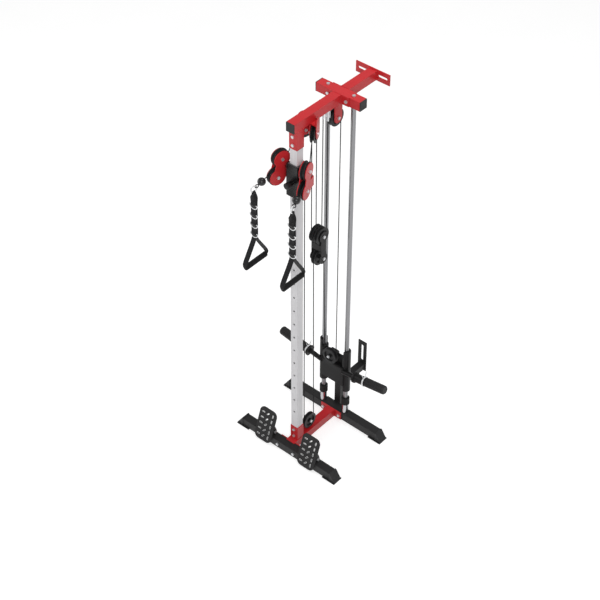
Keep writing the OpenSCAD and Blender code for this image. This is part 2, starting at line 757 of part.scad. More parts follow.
module arm(s) place() color(red) side(s) arm_plane() difference() {
  z1 = pivot_top - arm_z;
  z0 = pivot_low - arm_z;
  union() {
    for (k = [-1, 1]) translate([0, 0, k * (cheek_gap + cheek_t) / 2])
      linear_extrude(cheek_t, center = true) {
      for (c = [upper_wheel, lower_wheel]) translate(c) circle(lobe_r);
      translate(upper_wheel) rotate(link_angle) translate([0, -26]) square([norm(link), 52]);
      translate([-10, z0 + 2]) square([50, pivot_h - 4]);
    }
    slab([-12, 16], [z0, z1], [-cheek_gap / 2 - 1, cheek_gap / 2 + 1]);
  }
  for (c = [upper_wheel, lower_wheel]) translate([c.x, c.y, -plates_w / 2 - 1])
    cylinder(d = axle_d + 0.4, h = plates_w + 2);
  translate([0, z0 - 1, 0]) rotate([-90, 0, 0]) cylinder(d = axle_d + 2 * run, h = pivot_h + 2);
}

module arm_axles(s) place() color(chrome) side(s) arm_plane()
  for (c = [upper_wheel, lower_wheel]) translate(c) axle_bolt(plates_w);

module arm_pulley(s, c) place() color(black) side(s) arm_plane() translate(c) wheel();

// ---- Handles ---------------------------------------------------------------

module stop_ball(s) place() color(black) side(s) arm_plane() {
  translate(ball) sphere(d = ball_d);
  translate(ball) rotate(-exit_angle) along_x([ball_d / 2 - 4, 0, 0]) cylinder(d = 9, h = 4.5);
  translate(eye) rotate(-exit_angle) rotate([90, 0, 0]) torus(eye_r, eye_wire);
}

module carabiner(s) place() color(chrome) side(s) arm_plane() translate(ring) torus(ring_r, ring_wire);

module strap(s) place() color("#1F1F21") side(s) {
  low = ring_z - (ring_count - 1) * ring_pitch;
  w = strap_w / 2;
  slab([strap_x - w, strap_x + w], [strap_y - 2.5, strap_y + 2.5], [low - 10, strap_top - 40]);
  translate([strap_x, strap_y, 0]) rotate([90, 0, 0]) linear_extrude(5, center = true)
    polygon([[-w, strap_top - 41], [w, strap_top - 41], [2.5, strap_top - 12], [-2.5, strap_top - 12]]);
  slab([strap_x - 2.5, strap_x + 2.5], [strap_y - 10, strap_y + 10], [strap_top - 41, strap_top]);
  e = grip_len / 2 + 0.4;
  translate([strap_x, strap_y, 0]) rotate([90, 0, 90]) linear_extrude(leg_w, center = true) difference() {
    polygon([[-2.5, low - 1], [2.5, low - 1], [handle_half, grip_z + 24], [handle_half, grip_z - 9],
      [-handle_half, grip_z - 9], [-handle_half, grip_z + 24]]);
    polygon([[0, low - 14], [e, grip_z + 23], [e, grip_z - 10], [-e, grip_z - 10], [-e, grip_z + 23]]);
  }
  slab([strap_x - 6, strap_x + 6], [strap_y - e - 1, strap_y + e + 1], [grip_z - 6, grip_z + 6]);
}

module d_rings(s) place() color(chrome) for (n = [0:ring_count - 1]) {
  wire = 2.5;
  r = strap_w / 2 + 3.5;
  translate([s * strap_x, strap_y - wire - 2.5 - fit, ring_z - n * ring_pitch + r + wire])
    rotate([90, 0, 0]) {
    rotate(180) torus(r, wire, 180);
    translate([-r, 0, 0]) rotate([0, 90, 0]) cylinder(r = wire, h = 2 * r, $fn = 24);
  }
}

module grip(s) place() color("#262628") side(s)
  along_y([strap_x, strap_y - grip_len / 2, grip_z]) difference() {
  cylinder(d = grip_d, h = grip_len);
  translate([0, 0, -1]) cylinder(d = 20, h = grip_len + 2);
}

// ---- Floating block --------------------------------------------------------

module block_plates() place() color(black) {
  inner = block_x + cheek_gap / 2;
  both_sides() translate([inner, block_y, 0]) rotate([90, 0, 90]) linear_extrude(cheek_t) difference() {
    union() {
      for (z = [block_top, block_low]) translate([0, z]) circle(30);
      translate([-19, block_low]) square([38, block_top - block_low]);
    }
    for (z = [block_top, block_low]) translate([0, z]) axle_hole();
  }
  slab([-inner - 0.5, inner + 0.5], [block_y - 19, block_y + 19],
    [block_low + wheel_r + 4, block_top - wheel_r - 4]);
  both_sides() along_x([hub_w / 2 + fit, block_y, block_low]) difference() {
    cylinder(r = 9, h = inner - hub_w / 2 - fit + 0.5);
    translate([0, 0, -1]) cylinder(d = axle_d + 0.2, h = inner);
  }
}

module block_axles() place() color(chrome) for (z = [block_top, block_low])
  in_plane([0, block_y, z]) axle_bolt(2 * block_x + plates_w);

module block_pulley(x, z) place() color(black) in_plane([x, block_y, z]) wheel();

// ---- Weight carriage -------------------------------------------------------

// A place on a horn's axis, with z outward and y up.
module on_horn(r) translate([rod_x, horn_y, horn_z]) rotate([0, 90 - horn_tilt, 0])
  translate([0, 0, r]) rotate(90) children();

// A horn with a shallow seat for its spring clip.
module horn(clip) {
  end = horn_len - cap_t;
  on_horn(-8) cylinder(d = 27, h = stop_r + 9);
  on_horn(stop_r) cylinder(d = stop_d, h = 10);
  on_horn(stop_r) cylinder(d = horn_d, h = clip - 4 - stop_r);
  on_horn(stop_r) cylinder(d = horn_d - 2 * clip_seat, h = end - stop_r);
  on_horn(clip + 12) cylinder(d = horn_d, h = end - clip - 12);
}

module carriage() place() color(black) difference() {
  top = carriage_z + carriage_len;
  mount_y = carriage_wheel_y + hub_w / 2 + fit;
  front = rear_y - carriage_sleeve_d / 2 - 5;
  union() {
    both_sides() translate([rod_x, rear_y, carriage_z]) cylinder(d = carriage_sleeve_d, h = carriage_len);
    horn(clip_right);
    side(-1) horn(clip_left);
    slab([-rod_x, rod_x], [front, front + 8], [carriage_z + plate_foot, carriage_z + plate_joint]);
    slab([-rod_x, rod_x], [rear_y - 4, rear_y + 4], [carriage_z + plate_joint, carriage_z + plate_head]);
    slab([-rod_x, rod_x], [front + 2, rear_y + 4],
      [carriage_z + plate_joint - 8, carriage_z + plate_joint + 6]);
    slab([-25, 25], [mount_y, rear_y + 4], [carriage_wheel_z - 30, carriage_wheel_z + 14]);
  }
  both_sides() {
    translate([rod_x, rear_y, carriage_z - 1]) cylinder(d = rod_d + 2 * bush_t + 0.1, h = carriage_len + 2);
    on_horn(stop_r + 20) cylinder(d = horn_d - 10, h = horn_len);
    slab([rod_x - 30, rod_x - 4], [rear_y - 30, rear_y + 30], [top - 45, top + 1]);
  }
  along_y([0, mount_y - 1, carriage_wheel_z]) cylinder(d = axle_d + 0.2, h = rear_y - mount_y + 6);
}

module carriage_bushes() place() color("#6B6B6E") both_sides()
  for (z = [0, carriage_len - 2 * bush_len]) translate([rod_x, rear_y, carriage_z + z]) difference() {
    cylinder(d = rod_d + 2 * bush_t, h = bush_len);
    translate([0, 0, -1]) cylinder(d = rod_d + 2 * run, h = bush_len + 2);
  }

module carriage_axle() place() color(chrome)
  along_y([0, carriage_wheel_y - hub_w / 2 - fit, carriage_wheel_z]) {
    bolt(hub_w + 2 * fit + rear_y + 4 - carriage_wheel_y - hub_w / 2 + 10, axle_d);
    nut(hub_w / 2 + fit + rear_y + 4 - carriage_wheel_y, axle_d);
  }

module carriage_pulley() place() color(black)
  in_plane([0, carriage_wheel_y, carriage_wheel_z], 90) wheel();

module horn_caps() place() color(black) both_sides() on_horn(horn_len - cap_t) {
  r = horn_d / 2 - clip_seat;
  rotate_extrude() polygon([[0, -15], [horn_d / 2 - 5.2, -15], [horn_d / 2 - 5.2, 0], [r, 0],
    [r, cap_t - 5], [r - 4, cap_t], [0, cap_t]]);
}

module spring_clip(clip) on_horn(clip) {
  wire = 2.2;
  r = horn_d / 2 - clip_seat + wire + fit;
  torus(r, wire);
  translate([0, 0, 2 * wire - 0.4]) torus(r, wire);
  for (k = [-1, 1]) rotate(k * 18) translate([0, r - 1, wire]) rotate([-90, 0, 0])
    cylinder(r = wire, h = 34);
}

module spring_clips() place() color(chrome) {
  spring_clip(clip_right);
  side(-1) spring_clip(clip_left);
}

// ---- Cables ----------------------------------------------------------------

function handle_route() = concat(
  [arm_point(ball - exit_dir * (ball_d / 2 + fit))],
  [for (i = [0:2]) arm_point(lower_wheel + groove_r * [cos(leave + (cross_angle - 180 - leave) * i / 2),
    sin(leave + (cross_angle - 180 - leave) * i / 2)])],
  [for (i = [0:5]) arm_point(upper_wheel + groove_r * [cos(cross_angle + (180 - cross_angle) * i / 5),
    sin(cross_angle + (180 - cross_angle) * i / 5)])],
  wheel_arc([front_x, front_y, front_z], front_turn, 180, 0),
  wheel_arc([block_x, block_y, block_top], 0, 180, 360),
  [[block_x, block_y + groove_r, top_z - 60 - fit]]);

module handle_cable(s) place() color("#1B1B1C") side(s) sweep(handle_route(), cable_d, [1, 0, 0]);

module weight_cable() place() color("#1B1B1C") sweep(concat(
  [[0, low_y - groove_r, sleeve_z + 25 - fit]],
  wheel_arc([0, low_y, low_z], 0, 180, 360),
  wheel_arc([0, block_y, block_low], 0, 180, 0),
  wheel_arc([0, carriage_wheel_y, carriage_wheel_z], 90, 0, 180),
  wheel_arc([0, rear_wheel_y, rear_wheel_z], 0, 0, 90),
  [[0, rear_wheel_y - wheel_r - 12 + fit, rear_wheel_z + groove_r]]), cable_d, [1, 0, 0]);

// ---- Nodes -----------------------------------------------------------------

front_foot();
rear_foot();
shoes();
base_beam();
upright();
top_beam();
cross_beam();
wall_arm();
beam_caps();
guide_rods();
rod_collars();
bumpers();
wall_bracket();
foot_plates();
foot_plate_saddles();
frame_bolts();
pulley_brackets();
frame_axles();
cable_anchors();
low_pulley();
rear_top_pulley();
front_pulley(-1);  // front_pulley_left
front_pulley(1);  // front_pulley_right
trolley();
trolley_liners();
trolley_hardware();
pop_pin();
pop_pin_spring();
arm(-1);  // arm_left
arm(1);  // arm_right
arm_axles(-1);  // arm_axles_left
arm_axles(1);  // arm_axles_right
arm_pulley(-1, upper_wheel);  // arm_upper_pulley_left
arm_pulley(1, upper_wheel);  // arm_upper_pulley_right
arm_pulley(-1, lower_wheel);  // arm_lower_pulley_left
arm_pulley(1, lower_wheel);  // arm_lower_pulley_right
stop_ball(-1);  // stop_ball_left
stop_ball(1);  // stop_ball_right
carabiner(-1);  // carabiner_left
carabiner(1);  // carabiner_right
strap(-1);  // strap_left
strap(1);  // strap_right
d_rings(-1);  // d_rings_left
d_rings(1);  // d_rings_right
grip(-1);  // grip_left
grip(1);  // grip_right
block_plates();
block_axles();
block_pulley(-block_x, block_top);  // block_pulley_left
block_pulley(block_x, block_top);  // block_pulley_right
block_pulley(0, block_low);  // block_lower_pulley
carriage();
carriage_bushes();
carriage_axle();
carriage_pulley();
horn_caps();
spring_clips();
handle_cable(-1);  // handle_cable_left
handle_cable(1);  // handle_cable_right
weight_cable();
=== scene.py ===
# Wall-mounted cable station: materials, webbing handles, cables, welds, light and camera.
import math

import bmesh
import bpy
from mathutils import Euler, Matrix, Vector


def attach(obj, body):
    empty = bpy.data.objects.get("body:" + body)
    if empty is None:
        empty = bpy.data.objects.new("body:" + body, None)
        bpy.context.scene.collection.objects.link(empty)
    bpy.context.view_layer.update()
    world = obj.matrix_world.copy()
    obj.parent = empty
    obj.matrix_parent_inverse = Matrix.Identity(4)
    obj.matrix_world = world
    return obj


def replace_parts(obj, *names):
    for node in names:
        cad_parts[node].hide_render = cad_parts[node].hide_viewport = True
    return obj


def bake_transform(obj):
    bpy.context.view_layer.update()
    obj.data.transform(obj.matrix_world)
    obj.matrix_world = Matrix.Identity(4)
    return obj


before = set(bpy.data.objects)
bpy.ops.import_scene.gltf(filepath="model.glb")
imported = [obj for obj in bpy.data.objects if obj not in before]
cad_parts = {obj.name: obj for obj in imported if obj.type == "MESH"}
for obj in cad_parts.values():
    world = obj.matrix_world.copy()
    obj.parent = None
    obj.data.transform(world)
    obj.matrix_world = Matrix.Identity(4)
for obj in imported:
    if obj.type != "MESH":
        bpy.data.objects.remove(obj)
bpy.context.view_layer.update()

# ---- Camera ----------------------------------------------------------------
# The photograph's viewpoint: high, in front and to the right of the station,
# with a long lens. Its place was measured from the upright, which stands ROW_Y
# metres in front of the frame's origin.
ROW_Y = 0.157036
CAMERA_AT = Vector((3.7463, -4.2850 - ROW_Y, 6.0975))
CAMERA_PITCH = math.radians(90 - 41.51)
CAMERA_YAW = math.radians(41.0)
SENSOR_WIDTH = 36
LENS_LENGTH = 89.39
CLIP_END = 60

camera = bpy.data.objects.new("camera", bpy.data.cameras.new("camera"))
camera.data.sensor_width = SENSOR_WIDTH
camera.data.lens = LENS_LENGTH
camera.data.clip_end = CLIP_END
camera.location = CAMERA_AT
camera.rotation_euler = Euler((CAMERA_PITCH, 0, CAMERA_YAW))
bpy.context.collection.objects.link(camera)
bpy.context.scene.camera = camera


# ---- Painted tubes ---------------------------------------------------------
# Square steel tubes and plates, welded and powder coated: red, satin black and
# a light grey upright. The coat has a fine orange peel and pales at the edges.
def add_node(mat, kind, values=(), feeds=(), **settings):
    """A shader node with its settings, its sockets' values and what feeds them."""
    made = mat.node_tree.nodes.new("ShaderNode" + kind)
    for setting, value in settings.items():
        setattr(made, setting, value)
    for socket, value in dict(values).items():
        made.inputs[socket].default_value = value
    for socket, source in dict(feeds).items():
        mat.node_tree.links.new(source, made.inputs[socket])
    return made


def new_finish(name, values):
    """A new material, with plain values on its shader."""
    mat = bpy.data.materials.new(name)
    mat.use_nodes = True
    for socket, value in values.items():
        mat.node_tree.nodes["Principled BSDF"].inputs[socket].default_value = value
    return mat


def feed_shader(mat, feeds):
    """Links what drives the shader's sockets."""
    skin = mat.node_tree.nodes["Principled BSDF"]
    for socket, source in feeds.items():
        mat.node_tree.links.new(source, skin.inputs[socket])
    return mat


def shade(color, times, plus=0.0):
    """A colour made darker or paler, with its alpha."""
    return (*[min(1, c * times + plus) for c in color], 1)


def paint(name, color, roughness, peel=0.06, edge=0.25, shine=0.32, coat=0.06):
    """A powder coat of one colour, on the object's own coordinates."""
    mat = new_finish(name, {"Specular IOR Level": shine, "Coat Weight": coat,
                            "Coat Roughness": 0.22})
    where = add_node(mat, "TexCoord").outputs["Object"]
    grain = add_node(mat, "TexNoise", {"Scale": 900, "Detail": 3}, {"Vector": where})
    cloud = add_node(mat, "TexNoise", {"Scale": 7, "Detail": 4}, {"Vector": where})
    tint = add_node(mat, "Mix", {"A": shade(color, 0.88), "B": shade(color, 1.12)},
                    {"Factor": cloud.outputs["Fac"]}, data_type="RGBA")
    ridge = add_node(mat, "NewGeometry")
    rub = add_node(mat, "MapRange", {"From Min": 0.53, "From Max": 0.62, "To Max": edge},
                   {"Value": ridge.outputs["Pointiness"]})
    worn = add_node(mat, "Mix", {"B": shade(color, 1.6, 0.04)},
                    {"Factor": rub.outputs["Result"], "A": tint.outputs["Result"]},
                    data_type="RGBA")
    gloss = add_node(mat, "MapRange",
                     {"To Min": roughness - 0.06, "To Max": roughness + 0.08},
                     {"Value": cloud.outputs["Fac"]})
    round_off = add_node(mat, "Bevel", {"Radius": 0.0018}, samples=4)
    bump = add_node(mat, "Bump", {"Strength": peel, "Distance": 0.0006},
                    {"Height": grain.outputs["Fac"], "Normal": round_off.outputs["Normal"]})
    return feed_shader(mat, {"Base Color": worn.outputs["Result"],
                             "Roughness": gloss.outputs["Result"],
                             "Normal": bump.outputs["Normal"]})


def dress(material, *names):
    """Gives CAD nodes a finished material."""
    for name in names:
        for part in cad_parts[name].material_slots:
            part.material = material


red_paint = paint("red_powder_coat", (0.50, 0.012, 0.017), 0.34)
black_paint = paint("black_powder_coat", (0.011, 0.0105, 0.011), 0.42, edge=0.3, shine=0.17,
                    coat=0.02)
trolley_paint = paint("trolley_coat", (0.006, 0.006, 0.0062), 0.24, edge=0.2, shine=0.30,
                      coat=0.12)
grey_paint = paint("grey_powder_coat", (0.72, 0.71, 0.73), 0.38)
dress(red_paint, "base_beam", "top_beam", "cross_beam", "wall_arm", "pulley_brackets",
      "arm_left", "arm_right")
dress(black_paint, "front_foot", "rear_foot", "wall_bracket", "foot_plates",
      "foot_plate_saddles", "block_plates", "carriage")
dress(trolley_paint, "trolley")
dress(grey_paint, "upright")


# ---- Chrome and zinc -------------------------------------------------------
# Guide rods, collars, rings and spring clips are chrome plated and polished
# along their length. The rods are a darker copy of the chrome: painted shade,
# for the darker reflections they show. Bolts and axles are zinc plated.
EVEN = (1, 1, 1)
LENGTHWAYS = (1, 1, 0.05)


def plating(name, color, roughness, stretch=LENGTHWAYS, metal=1.0):
    """Plated steel with faint polishing lines, drawn out along the stretch's short axis."""
    mat = new_finish(name, {"Metallic": metal})
    where = add_node(mat, "TexCoord").outputs["Object"]
    turn = add_node(mat, "Mapping", {"Scale": stretch}, {"Vector": where})
    lines = add_node(mat, "TexNoise", {"Scale": 420, "Detail": 3},
                     {"Vector": turn.outputs["Vector"]})
    rough = add_node(mat, "MapRange",
                     {"To Min": roughness * 0.7, "To Max": roughness * 1.4},
                     {"Value": lines.outputs["Fac"]})
    tint = add_node(mat, "Mix", {"A": shade(color, 0.93), "B": shade(color, 1)},
                    {"Factor": lines.outputs["Fac"]}, data_type="RGBA")
    bump = add_node(mat, "Bump", {"Strength": 0.03, "Distance": 0.0003},
                    {"Height": lines.outputs["Fac"]})
    return feed_shader(mat, {"Roughness": rough.outputs["Result"],
                             "Base Color": tint.outputs["Result"],
                             "Normal": bump.outputs["Normal"]})


chrome = plating("chrome_plate", (0.56, 0.57, 0.59), 0.16)
ring_plate = plating("ring_plate", (0.86, 0.87, 0.88), 0.40, EVEN, 0.55)
zinc = plating("zinc_plate", (0.70, 0.71, 0.73), 0.34, EVEN, 0.70)
# The rods' chrome is darkened: painted shade, for the darker reflections they show.
darkened_rods = plating("rod_chrome_painted_shade", (0.30, 0.30, 0.31), 0.32)
dress(darkened_rods, "guide_rods")
dress(chrome, "rod_collars")
dress(ring_plate, "d_rings_left", "d_rings_right", "carabiner_left", "carabiner_right",
      "spring_clips")
dress(zinc, "frame_bolts", "frame_axles", "cable_anchors", "trolley_hardware",
      "arm_axles_left", "arm_axles_right", "block_axles", "carriage_axle", "pop_pin_spring")


# ---- Pulleys, shoes, liners and knobs --------------------------------------
# Injection-moulded nylon and rubber: a fine spark texture on the faces, and
# edges that are a little rounded by the mould.
def moulded(name, color, roughness, scale=650, depth=0.10, coat=0.0, shine=0.3):
    """A moulded plastic or rubber with a fine even grain."""
    mat = new_finish(name, {"Coat Weight": coat, "Specular IOR Level": shine})
    where = add_node(mat, "TexCoord").outputs["Object"]
    spark = add_node(mat, "TexVoronoi", {"Scale": scale}, {"Vector": where})
    cloud = add_node(mat, "TexNoise", {"Scale": 22, "Detail": 5}, {"Vector": where})
    tint = add_node(mat, "Mix", {"A": shade(color, 0.8), "B": shade(color, 1.3)},
                    {"Factor": cloud.outputs["Fac"]}, data_type="RGBA")
    rough = add_node(mat, "MapRange",
                     {"To Min": roughness - 0.08, "To Max": roughness + 0.10},
                     {"Value": cloud.outputs["Fac"]})
    round_off = add_node(mat, "Bevel", {"Radius": 0.0012}, samples=4)
    bump = add_node(mat, "Bump", {"Strength": depth, "Distance": 0.0005},
                    {"Height": spark.outputs["Distance"], "Normal": round_off.outputs["Normal"]})
    return feed_shader(mat, {"Base Color": tint.outputs["Result"],
                             "Roughness": rough.outputs["Result"],
                             "Normal": bump.outputs["Normal"]})


nylon = moulded("black_nylon", (0.014, 0.014, 0.015), 0.42)
shoe_plastic = moulded("shoe_plastic", (0.020, 0.020, 0.021), 0.52)
liner_plastic = moulded("liner_plastic", (0.10, 0.10, 0.105), 0.45)
bumper_rubber = moulded("bumper_rubber", (0.012, 0.012, 0.012), 0.72, 420, 0.2)
ball_plastic = moulded("ball_plastic", (0.016, 0.016, 0.017), 0.30, coat=0.3)
dress(nylon, "low_pulley", "rear_top_pulley", "front_pulley_left", "front_pulley_right",
      "arm_upper_pulley_left", "arm_upper_pulley_right", "arm_lower_pulley_left",
      "arm_lower_pulley_right", "block_pulley_left", "block_pulley_right",
      "block_lower_pulley", "carriage_pulley", "pop_pin")
dress(shoe_plastic, "shoes", "beam_caps", "horn_caps")
dress(liner_plastic, "trolley_liners", "carriage_bushes")
dress(bumper_rubber, "bumpers")
dress(ball_plastic, "stop_ball_left", "stop_ball_right")


# ---- Welds -----------------------------------------------------------------
# The tubes meet their flanges and plates in small fillet welds, under the same
# powder coat. A bead is a rippled round run along the joint.
SIDES = ((-1, "left"), (1, "right"))

# Where the beads run, in mm.
TUBE_HALF = 25
BASE_BEAM_Z = 28
TOP_BEAM_Z = 2146
SOCKET_Z = 58.5
SLEEVE_Z = 2120.5
FRONT_FLANGE_Y = -43.5
REAR_FLANGE_Y = 290.5
JOINT_FLANGE_Y = 351.5
WALL_PLATE_Y = 559.5
BRACKET_ARM_Z = 192
BRACKET_ARM_HALF = 20

# A bead's radius and the length of one step along it, in metres.
BEAD_RADIUS = 0.0022
BEAD_STEP = 0.0025
BEAD_SIDES = 8
RIPPLE_DEPTH = 0.16
RIPPLE_TURN = 1.9


def row(x, y, z):
    """A place in mm from the foot of the upright: x right, y to the wall and z up."""
    return Vector((x / 1000, y / 1000 - ROW_Y, z / 1000))


def smooth_piece(name, mesh, material):
    """A piece from a mesh that lies in its place, smooth and with one material."""
    piece = bpy.data.objects.new(name, mesh)
    bpy.context.collection.objects.link(piece)
    for face in mesh.polygons:
        face.use_smooth = True
    mesh.materials.append(material)
    return piece


def tube_along(name, points, radius, material, closed=False, rounding=3):
    """A round run of one radius through the points; it has 4 + 2 x rounding sides."""
    path = bpy.data.curves.new(name, "CURVE")
    path.dimensions = "3D"
    path.bevel_depth = radius
    path.bevel_resolution = rounding
    path.use_fill_caps = not closed
    run = path.splines.new("POLY")
    run.points.add(len(points) - 1)
    for place, point in zip(run.points, points):
        place.co = (*point, 1)
    run.use_cyclic_u = closed
    drawn = bpy.data.objects.new(name, path)
    bpy.context.collection.objects.link(drawn)
    bpy.context.view_layer.update()
    graph = bpy.context.evaluated_depsgraph_get()
    mesh = bpy.data.meshes.new_from_object(drawn.evaluated_get(graph))
    bpy.data.objects.remove(drawn)
    mesh.name = name
    return smooth_piece(name, mesh, material)


def weld(name, corners, material, body="frame"):
    """A bead round the corners, with a ripple every few millimetres."""
    points = []
    for here, there in zip(corners, corners[1:] + corners[:1]):
        count = max(2, int((there - here).length / BEAD_STEP))
        points += [here.lerp(there, i / count) for i in range(count)]
    piece = tube_along(name, points, BEAD_RADIUS, material, closed=True, rounding=2)
    shape = bmesh.new()
    shape.from_mesh(piece.data)
    for i, vert in enumerate(shape.verts):
        step = i // BEAD_SIDES
        centre = points[min(step, len(points) - 1)]
        swell = 1.0 + RIPPLE_DEPTH * math.sin(step * RIPPLE_TURN)
        vert.co = centre + (vert.co - centre) * swell
    bmesh.ops.recalc_face_normals(shape, faces=shape.faces)
    shape.to_mesh(piece.data)
    shape.free()
    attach(piece, body)


def square_corners(half):
    """The four corners round a square tube of this half width."""
    return ((-half, -half), (half, -half), (half, half), (-half, half))


def round_beam(y, z, half=TUBE_HALF):
    """Round a tube that runs to the wall."""
    return [row(x, y, z + up) for x, up in square_corners(half)]


def round_upright(z):
    """Round the upright."""
    return [row(x, y, z) for x, y in square_corners(TUBE_HALF)]


weld("weld_base_front", round_beam(FRONT_FLANGE_Y, BASE_BEAM_Z), red_paint)
weld("weld_base_rear", round_beam(REAR_FLANGE_Y, BASE_BEAM_Z), red_paint)
weld("weld_socket", round_upright(SOCKET_Z), red_paint)
weld("weld_sleeve", round_upright(SLEEVE_Z), red_paint)
weld("weld_top_flange", round_beam(REAR_FLANGE_Y, TOP_BEAM_Z), red_paint)
weld("weld_wall_flange", round_beam(JOINT_FLANGE_Y, TOP_BEAM_Z), red_paint)
weld("weld_wall_plate", round_beam(WALL_PLATE_Y, TOP_BEAM_Z), red_paint)
weld("weld_bracket_plate", round_beam(WALL_PLATE_Y, BRACKET_ARM_Z, BRACKET_ARM_HALF),
     black_paint)


# ---- Horn welds ------------------------------------------------------------
# Each plate horn tilts up from its guide rod. Its sleeve is welded to the outer
# face of the stop collar, and its core to the inner face.
HORN_TILT = math.radians(9)
HORN_ROOT = (79.4, 296, 381)
SLEEVE_BEAD = (90.5, 25.2)
CORE_BEAD = (79.5, 13.7)
RING_POINTS = 64


def horn_axis(side):
    """Where a horn's axis leaves its guide rod, and the way it points."""
    x, y, z = HORN_ROOT
    return row(side * x, y, z), Vector((side * math.cos(HORN_TILT), 0, math.sin(HORN_TILT)))


def horn_ring(side, reach, radius):
    """A ring square to a horn's axis, reach mm out from its guide rod."""
    root, out = horn_axis(side)
    up = Vector((-side * math.sin(HORN_TILT), 0, math.cos(HORN_TILT)))
    centre = root + out * reach / 1000
    turns = [2 * math.pi * i / RING_POINTS for i in range(RING_POINTS)]
    return [centre + (Vector((0, math.cos(turn), 0)) + up * math.sin(turn)) * radius / 1000
            for turn in turns]


for side, name in SIDES:
    weld(f"weld_collar_{name}", horn_ring(side, *SLEEVE_BEAD), black_paint,
         "carriage")
    weld(f"weld_horn_{name}", horn_ring(side, *CORE_BEAD), black_paint,
         "carriage")


# ---- Horn ribs -------------------------------------------------------------
# The outer half of each horn is faintly ribbed, to grip the plates' bores.
# Each rib is a low ring round the sleeve, 0.6 mm proud, spun from its section.
RIB_REACHES = range(172, 282, 7)
RIB_SECTION = ((-1.6, 24.9), (-0.6, 25.6), (0.6, 25.6), (1.6, 24.9))
RIB_SIDES = 48


def piece_from(name, shape, material):
    """A smooth piece from a bmesh, which is then done with."""
    mesh = bpy.data.meshes.new(name)
    shape.to_mesh(mesh)
    shape.free()
    return smooth_piece(name, mesh, material)


def spin_round(shape, line, centre, axis, steps):
    """Spins a closed section once round an axis, and closes the seam."""
    loop = [shape.edges.new(pair) for pair in zip(line, line[1:] + line[:1])]
    bmesh.ops.spin(shape, geom=line + loop, cent=centre, axis=axis, angle=2 * math.pi,
                   steps=steps, use_merge=True)


for side, name in SIDES:
    root, out = horn_axis(side)
    shape = bmesh.new()
    for reach in RIB_REACHES:
        section = [shape.verts.new(root + out * (reach + step) / 1000
                                   + Vector((0, radius / 1000, 0)))
                   for step, radius in RIB_SECTION]
        spin_round(shape, section, root, out, RIB_SIDES)
    bmesh.ops.remove_doubles(shape, verts=shape.verts, dist=0.00001)
    bmesh.ops.recalc_face_normals(shape, faces=shape.faces)
    piece = piece_from(f"horn_{name}_ribs", shape, shoe_plastic)
    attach(piece, "carriage")


# ---- Slot lips -------------------------------------------------------------
# The slots of the foot plates are punched from behind, so each has a raised
# lip for grip. The lips are light grey: a painted highlight, standing in for
# the light that catches their edges. They stand in three columns, each turned by
# 45 degrees from the next, on a tread that leans 70 degrees from the floor.
TREAD_LEAN = math.radians(70)
TREAD_X = 156
TREAD_FOOT_Y = -121
TREAD_FOOT_Z = 9
SLOT_COLUMNS = (-1, 0, 1)
SLOT_LEVELS = 5
SLOT_ACROSS = 34
SLOT_FIRST = 30
SLOT_PITCH = 35
SLOT_HALF = 6.5
SLOT_RADIUS = 3.0
SLOT_TURN = 45
LIP_PROUD = 0.3
LIP_RADIUS = 0.0010
LIP_POINTS = 24

# Light grey on the black plates: a painted highlight along each lip.
lip_highlight_steel = plating("lip_painted_highlight", (0.80, 0.80, 0.80), 0.45, EVEN, 0.3)


def tread_point(x, across, along, proud):
    """A place on a foot plate: across and along its face, and proud of it."""
    y = TREAD_FOOT_Y + along * math.cos(TREAD_LEAN) - proud * math.sin(TREAD_LEAN)
    z = TREAD_FOOT_Z + along * math.sin(TREAD_LEAN) + proud * math.cos(TREAD_LEAN)
    return row(x + across, y, z)


def slot_outline(turn):
    """Round a slot from its middle, with its long way turned from across the tread."""
    outline = []
    for i in range(LIP_POINTS):
        angle = 2 * math.pi * i / LIP_POINTS
        u = SLOT_RADIUS * math.cos(angle) + (SLOT_HALF if math.cos(angle) > 0 else -SLOT_HALF)
        v = SLOT_RADIUS * math.sin(angle)
        outline.append((u * math.cos(turn) - v * math.sin(turn),
                        u * math.sin(turn) + v * math.cos(turn)))
    return outline


for side, name in SIDES:
    for column in SLOT_COLUMNS:
        outline = slot_outline(math.radians(column * SLOT_TURN + SLOT_TURN))
        for level in range(SLOT_LEVELS):
            across, along = column * SLOT_ACROSS, SLOT_FIRST + level * SLOT_PITCH
            points = [tread_point(side * TREAD_X, across + u, along + v, LIP_PROUD)
                      for u, v in outline]
            lip = tube_along(f"foot_plate_{name}_lip_{column + 1}{level}", points, LIP_RADIUS,
                             lip_highlight_steel, closed=True, rounding=2)
            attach(lip, "frame")


# ---- Cables ----------------------------------------------------------------
# Steel cable in a black nylon coat, 5 mm over all. Each run between two pulleys
# is its own piece, so that it follows what it joins; a run's ends lie in grooves.
CABLE_RADIUS = 0.0025
GROOVE = 40

# An arm turns by ARM_TURN about its swivel. Its pulleys and the stop ball lie out
# from the swivel's axis, and the pulleys up from the upper one. The cable leaves
# down along EXIT and ends BALL_ENTRY short of the ball's middle.
ARM_TURN = math.radians(16)
SWIVEL = (69, 14, 1931)
ARM_UPPER_WHEEL = (40, 0)
ARM_LOWER_WHEEL = (65, -98)
EXIT = math.radians(30)
BALL_OUT = 147
BALL_ENTRY = 20.5

# The middles of the other pulleys, and the studs and lugs that hold the ends.
FRONT_WHEEL = (32.2, 90.9, 2062)
FRONT_TURN = math.radians(25.5)
BLOCK_WHEEL = (15, 169, 1388)
HANDLE_STUD = (15, 209, 2060.7)
LOW_WHEEL = (0, 99, 106)
TROLLEY_LUG = (0, 59, 1764.5)
BLOCK_LOWER_WHEEL = (0, 169, 1246)
CARRIAGE_WHEEL = (0, 277, 472)
REAR_WHEEL = (0, 284, 2040)
LIFT_LUG = (0, 224.5, 2080)

